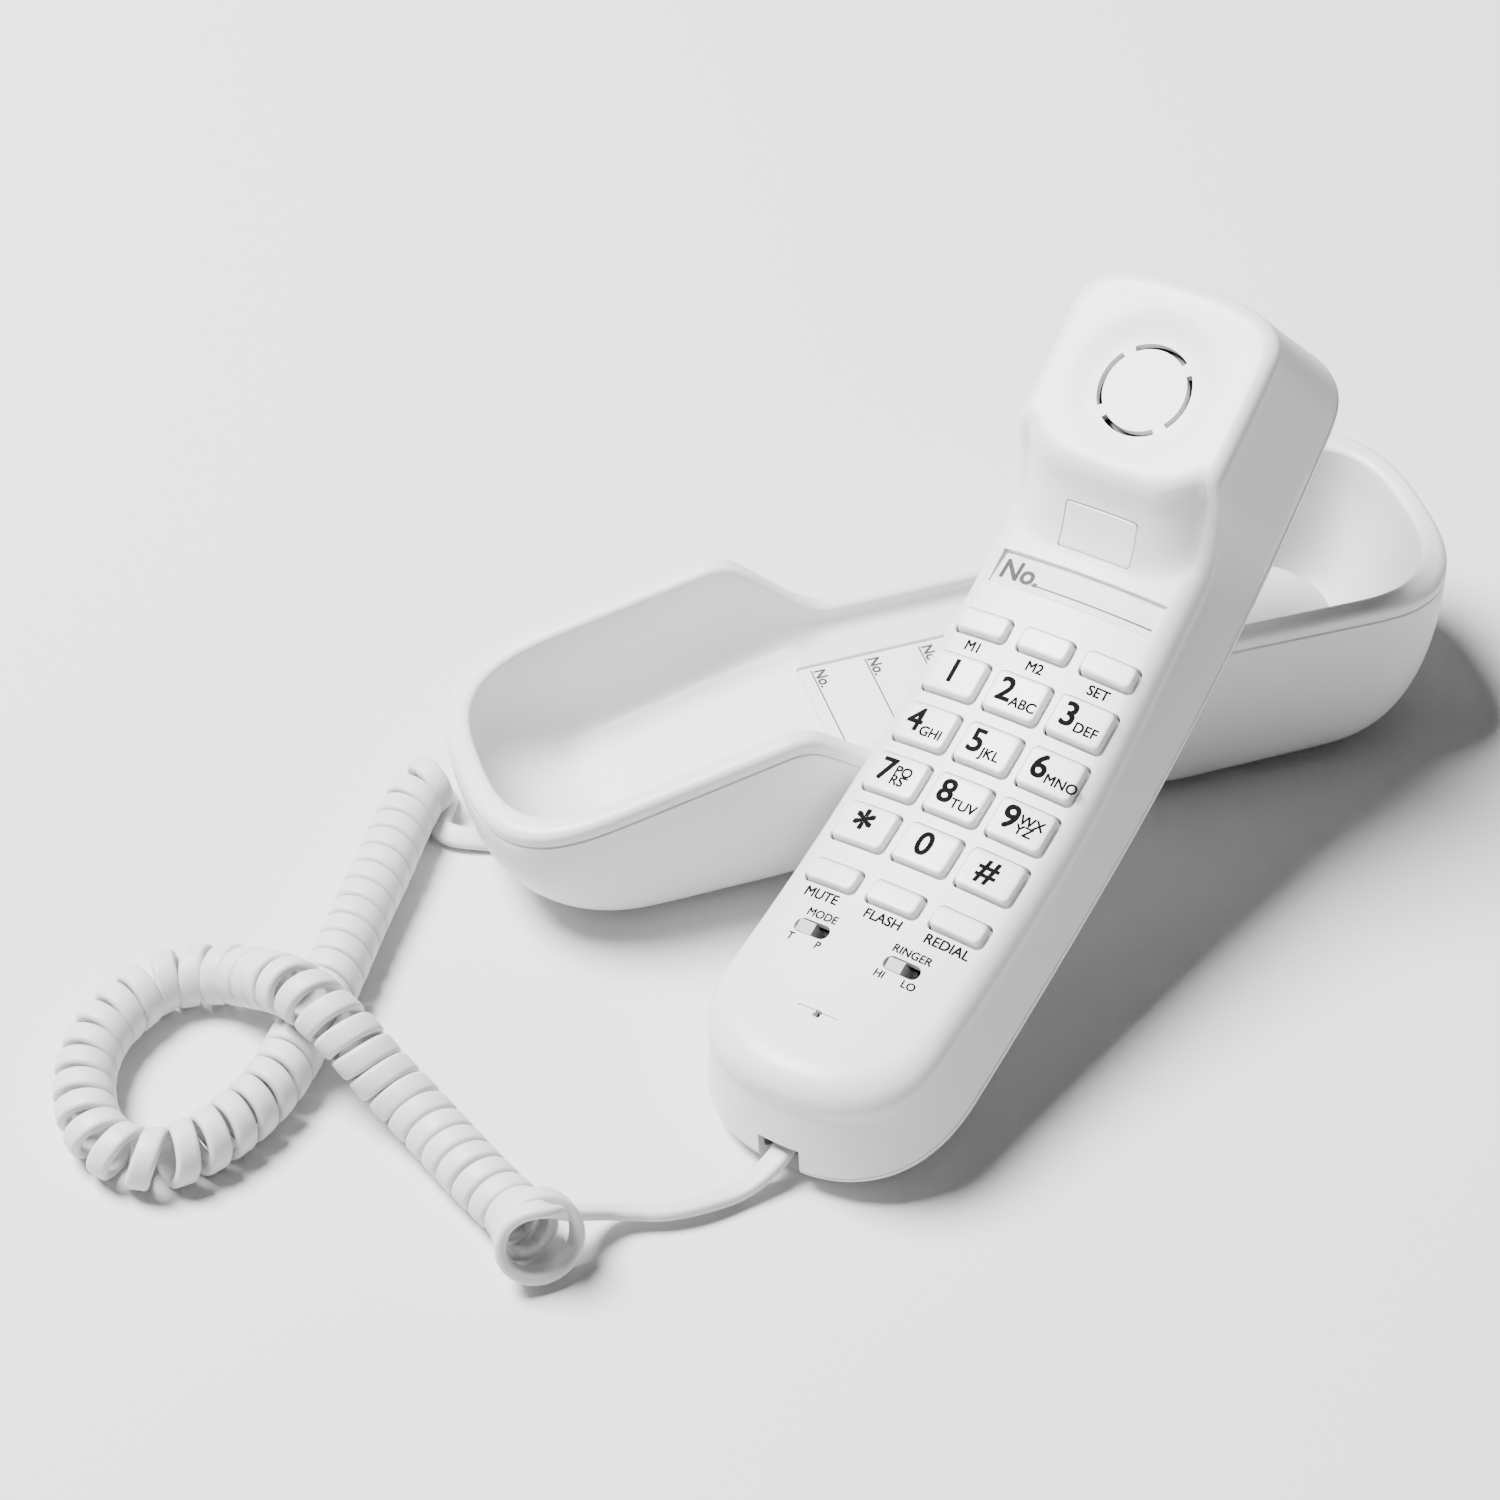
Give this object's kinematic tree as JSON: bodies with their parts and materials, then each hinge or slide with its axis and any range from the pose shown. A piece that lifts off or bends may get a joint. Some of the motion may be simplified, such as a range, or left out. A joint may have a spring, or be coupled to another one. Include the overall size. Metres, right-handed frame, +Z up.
{
  "type": "slimline wall telephone",
  "caption": "White slimline corded telephone: two-bowl wall cradle with the keypad handset laid across it and its flat curly cord looped on the table.",
  "frame": {"origin": "on the table, under the middle of the box round the cradle and the handset, cord left out", "axes": "+X along the cradle towards its ear bowl, +Y across the cradle away from the handset's mouth end, +Z up from the table"},
  "size_m": [0.3211, 0.1509, 0.1167],
  "materials": {
    "white_casing": "satin moulded white",
    "white_keys": "satin white with printed dark legends",
    "switch_knobs": "satin",
    "paper_cards": "plain, printed with thin rules",
    "clear_covers": "clear flexible sheet",
    "pale_feet": "matt",
    "black_rubber": "matt",
    "black_plastic": "matt",
    "circuit_board": "satin",
    "steel_parts": "plain",
    "silicone_mat": "matt",
    "brass_disc": "plain",
    "clear_plugs": "clear moulded plug",
    "white_cord": "satin extruded jacket"
  },
  "bodies": {
    "cradle": {"cradle_top_shell": "white_casing", "cradle_bottom_shell": "white_casing", "number_card": "paper_cards", "card_cover": "clear_covers", "cradle_feet": "pale_feet", "cradle_cord_jack": "black_plastic", "line_jack": "black_plastic", "jack_board": "circuit_board", "cradle_ballast": "steel_parts", "cradle_screws": "steel_parts", "cord_cradle_plug": "clear_plugs", "cord_handset_lead": "white_cord", "cord_coil": "white_cord", "cord_cradle_lead": "white_cord"},
    "handset": {"handset_front_shell": "white_casing", "handset_back_shell": "white_casing", "label_card": "paper_cards", "label_window": "clear_covers", "receiver": "black_plastic", "receiver_gasket": "black_rubber", "microphone": "steel_parts", "microphone_boot": "black_rubber", "main_board": "circuit_board", "key_mat": "silicone_mat", "mode_switch_body": "steel_parts", "ringer_switch_body": "steel_parts", "hook_microswitch": "black_plastic", "handset_jack": "black_plastic", "ringer_disc": "brass_disc", "handset_ballast": "steel_parts", "handset_screws": "steel_parts", "cord_handset_plug": "clear_plugs"},
    "key_1": {"key_1": "white_keys"},
    "key_2": {"key_2": "white_keys"},
    "key_3": {"key_3": "white_keys"},
    "key_4": {"key_4": "white_keys"},
    "key_5": {"key_5": "white_keys"},
    "key_6": {"key_6": "white_keys"},
    "key_7": {"key_7": "white_keys"},
    "key_8": {"key_8": "white_keys"},
    "key_9": {"key_9": "white_keys"},
    "key_star": {"key_star": "white_keys"},
    "key_0": {"key_0": "white_keys"},
    "key_hash": {"key_hash": "white_keys"},
    "key_m1": {"key_m1": "white_keys"},
    "key_m2": {"key_m2": "white_keys"},
    "key_set": {"key_set": "white_keys"},
    "key_mute": {"key_mute": "white_keys"},
    "key_flash": {"key_flash": "white_keys"},
    "key_redial": {"key_redial": "white_keys"},
    "hook_button": {"hook_button": "white_keys"},
    "mode_knob": {"mode_knob": "switch_knobs"},
    "ringer_knob": {"ringer_knob": "switch_knobs"}
  },
  "joints": [
    {"name": "handset_lift", "type": "slide", "parent": "cradle", "child": "handset", "axis": [0, 0, 1], "range_m": [0, 0.1]},
    {"name": "key_1_press", "type": "slide", "parent": "handset", "child": "key_1", "axis": [0.3443, 0.1683, -0.9237], "range_m": [0, 0.0012], "stiffness_N_per_m": 500},
    {"name": "key_2_press", "type": "slide", "parent": "handset", "child": "key_2", "axis": [0.3443, 0.1683, -0.9237], "range_m": [0, 0.0012], "stiffness_N_per_m": 500},
    {"name": "key_3_press", "type": "slide", "parent": "handset", "child": "key_3", "axis": [0.3443, 0.1683, -0.9237], "range_m": [0, 0.0012], "stiffness_N_per_m": 500},
    {"name": "key_4_press", "type": "slide", "parent": "handset", "child": "key_4", "axis": [0.3443, 0.1683, -0.9237], "range_m": [0, 0.0012], "stiffness_N_per_m": 500},
    {"name": "key_5_press", "type": "slide", "parent": "handset", "child": "key_5", "axis": [0.3443, 0.1683, -0.9237], "range_m": [0, 0.0012], "stiffness_N_per_m": 500},
    {"name": "key_6_press", "type": "slide", "parent": "handset", "child": "key_6", "axis": [0.3443, 0.1683, -0.9237], "range_m": [0, 0.0012], "stiffness_N_per_m": 500},
    {"name": "key_7_press", "type": "slide", "parent": "handset", "child": "key_7", "axis": [0.3443, 0.1683, -0.9237], "range_m": [0, 0.0012], "stiffness_N_per_m": 500},
    {"name": "key_8_press", "type": "slide", "parent": "handset", "child": "key_8", "axis": [0.3443, 0.1683, -0.9237], "range_m": [0, 0.0012], "stiffness_N_per_m": 500},
    {"name": "key_9_press", "type": "slide", "parent": "handset", "child": "key_9", "axis": [0.3443, 0.1683, -0.9237], "range_m": [0, 0.0012], "stiffness_N_per_m": 500},
    {"name": "key_star_press", "type": "slide", "parent": "handset", "child": "key_star", "axis": [0.3443, 0.1683, -0.9237], "range_m": [0, 0.0012], "stiffness_N_per_m": 500},
    {"name": "key_0_press", "type": "slide", "parent": "handset", "child": "key_0", "axis": [0.3443, 0.1683, -0.9237], "range_m": [0, 0.0012], "stiffness_N_per_m": 500},
    {"name": "key_hash_press", "type": "slide", "parent": "handset", "child": "key_hash", "axis": [0.3443, 0.1683, -0.9237], "range_m": [0, 0.0012], "stiffness_N_per_m": 500},
    {"name": "key_m1_press", "type": "slide", "parent": "handset", "child": "key_m1", "axis": [0.3443, 0.1683, -0.9237], "range_m": [0, 0.0012], "stiffness_N_per_m": 500},
    {"name": "key_m2_press", "type": "slide", "parent": "handset", "child": "key_m2", "axis": [0.3443, 0.1683, -0.9237], "range_m": [0, 0.0012], "stiffness_N_per_m": 500},
    {"name": "key_set_press", "type": "slide", "parent": "handset", "child": "key_set", "axis": [0.3443, 0.1683, -0.9237], "range_m": [0, 0.0012], "stiffness_N_per_m": 500},
    {"name": "key_mute_press", "type": "slide", "parent": "handset", "child": "key_mute", "axis": [0.3443, 0.1683, -0.9237], "range_m": [0, 0.0012], "stiffness_N_per_m": 500},
    {"name": "key_flash_press", "type": "slide", "parent": "handset", "child": "key_flash", "axis": [0.3443, 0.1683, -0.9237], "range_m": [0, 0.0012], "stiffness_N_per_m": 500},
    {"name": "key_redial_press", "type": "slide", "parent": "handset", "child": "key_redial", "axis": [0.3443, 0.1683, -0.9237], "range_m": [0, 0.0012], "stiffness_N_per_m": 500},
    {"name": "hook_button_press", "type": "slide", "parent": "handset", "child": "hook_button", "axis": [0.3443, 0.1683, -0.9237], "range_m": [0, 0.002], "stiffness_N_per_m": 300},
    {"name": "mode_knob_slide", "type": "slide", "parent": "handset", "child": "mode_knob", "axis": [0.6043, -0.7926, 0.0808], "range_m": [0, 0.0034]},
    {"name": "ringer_knob_slide", "type": "slide", "parent": "handset", "child": "ringer_knob", "axis": [0.6043, -0.7926, 0.0808], "range_m": [0, 0.0034]}
  ]
}
